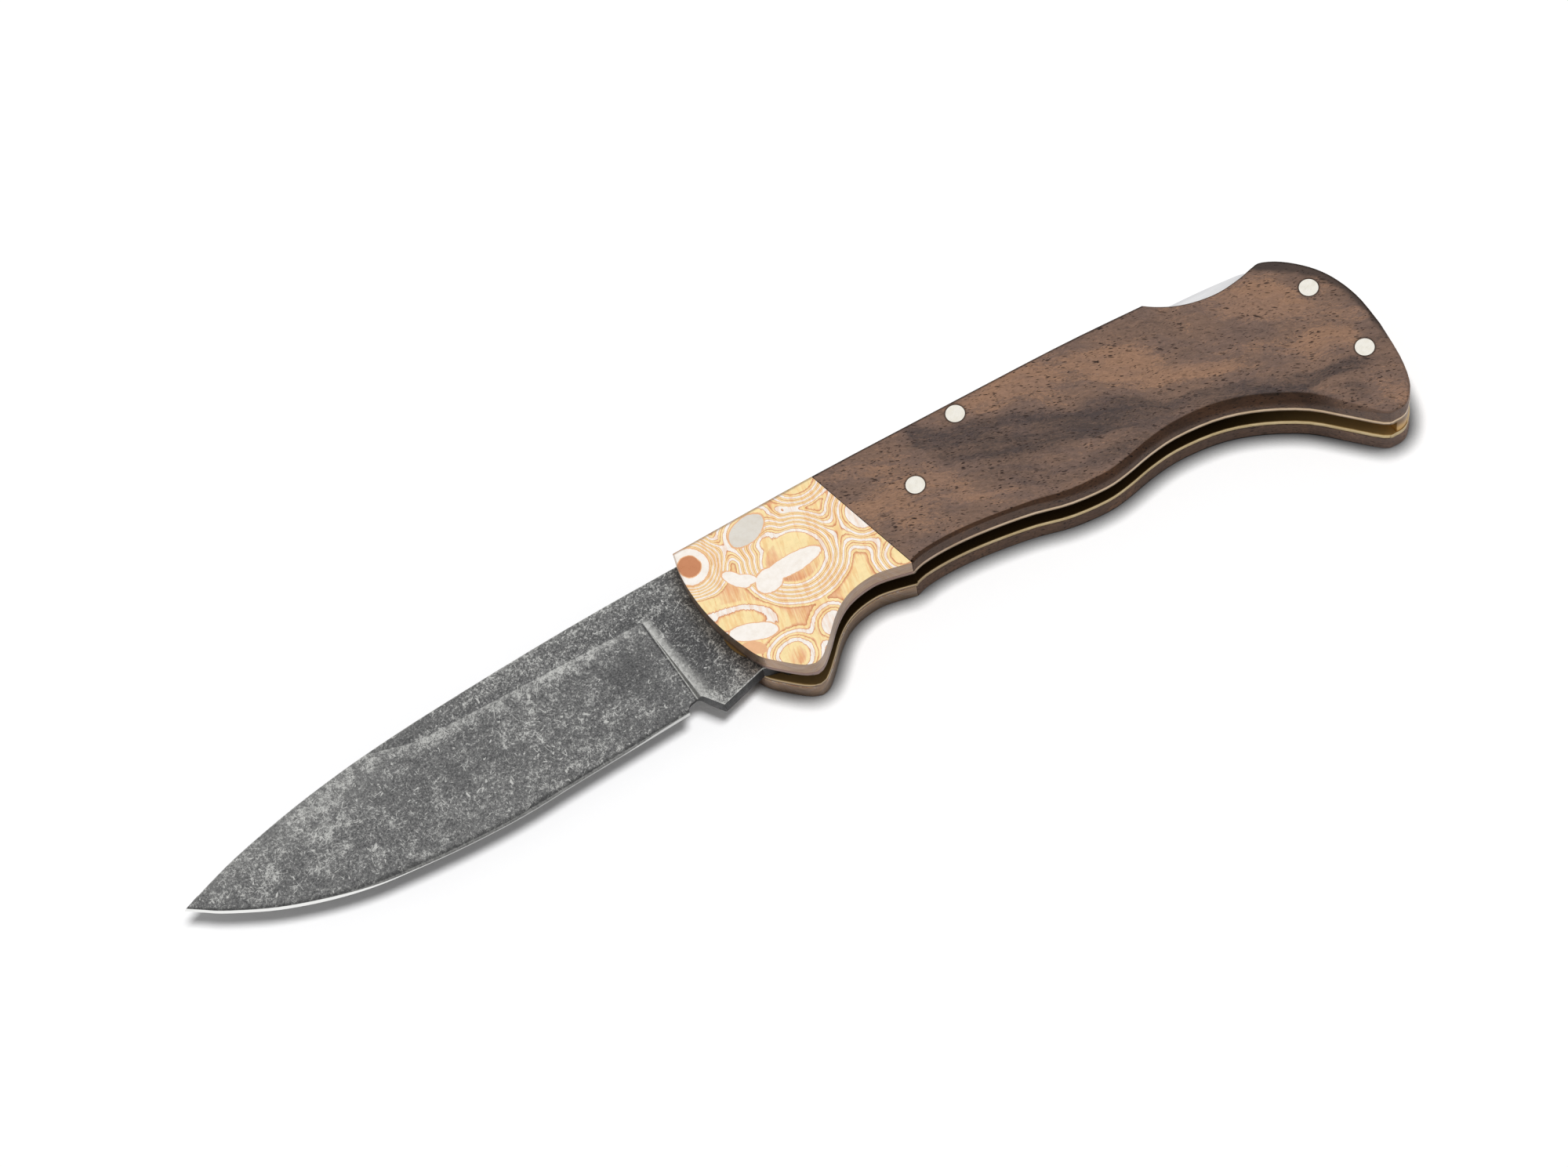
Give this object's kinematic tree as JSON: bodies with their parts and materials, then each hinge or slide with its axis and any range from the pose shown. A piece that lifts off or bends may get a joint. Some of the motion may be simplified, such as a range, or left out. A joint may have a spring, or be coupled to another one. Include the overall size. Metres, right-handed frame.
{
  "type": "folding pocket knife",
  "caption": "Folding lockback pocket knife shown open: drop-point blade, patterned metal bolsters, wood scales, brass liners and a rocking lock bar in the spine.",
  "frame": {"origin": "on the blade's pivot axis, in the flat rear face of the handle that the knife lies on", "axes": "+X from the pivot towards the butt, +Y from the belly towards the spine, +Z along the pivot pin out of the front face"},
  "size_m": [0.2026, 0.0368, 0.0115],
  "materials": {
    "walnut": "oiled brown walnut with diagonal darker streaks and open pores",
    "mokume": "polished layered metal in copper, brass and nickel silver, with concentric contour bands",
    "liner_brass": "satin brass, lightly tarnished",
    "blade_steel": "dark stonewashed steel with lighter scuffs and a bright cutting edge",
    "lock_steel": "satin steel",
    "spring_steel": "plain spring steel",
    "pin_metal": "bright nickel silver, ground flush"
  },
  "bodies": {
    "handle": {"front_scale": "walnut", "rear_scale": "walnut", "front_bolster": "mokume", "rear_bolster": "mokume", "front_liner": "liner_brass", "rear_liner": "liner_brass", "butt_spacer": "liner_brass", "lock_spring": "spring_steel", "blade_pivot_pin": "pin_metal", "lock_bar_pin": "pin_metal", "butt_pin_upper": "pin_metal", "butt_pin_lower": "pin_metal", "front_scale_rivet": "pin_metal", "rear_scale_rivet": "pin_metal", "front_bolster_dowel_1": "spring_steel", "front_bolster_dowel_2": "spring_steel", "rear_bolster_dowel_1": "spring_steel", "rear_bolster_dowel_2": "spring_steel", "front_pivot_washer": "liner_brass", "rear_pivot_washer": "liner_brass"},
    "blade": {"blade": "blade_steel"},
    "lock_bar": {"lock_bar": "lock_steel"}
  },
  "joints": [
    {"name": "blade_swing", "type": "hinge", "parent": "handle", "child": "blade", "pos_m": [0, 0, 0.00575], "axis": [0, 0, 1], "range_deg": [0, 180]},
    {"name": "lock_release", "type": "hinge", "parent": "handle", "child": "lock_bar", "pos_m": [0.0418, 0.01385, 0.00575], "axis": [0, 0, -1], "range_deg": [-1, 2.5], "stiffness_Nm_per_rad": 0.5, "deforming": ["lock_spring"]}
  ]
}
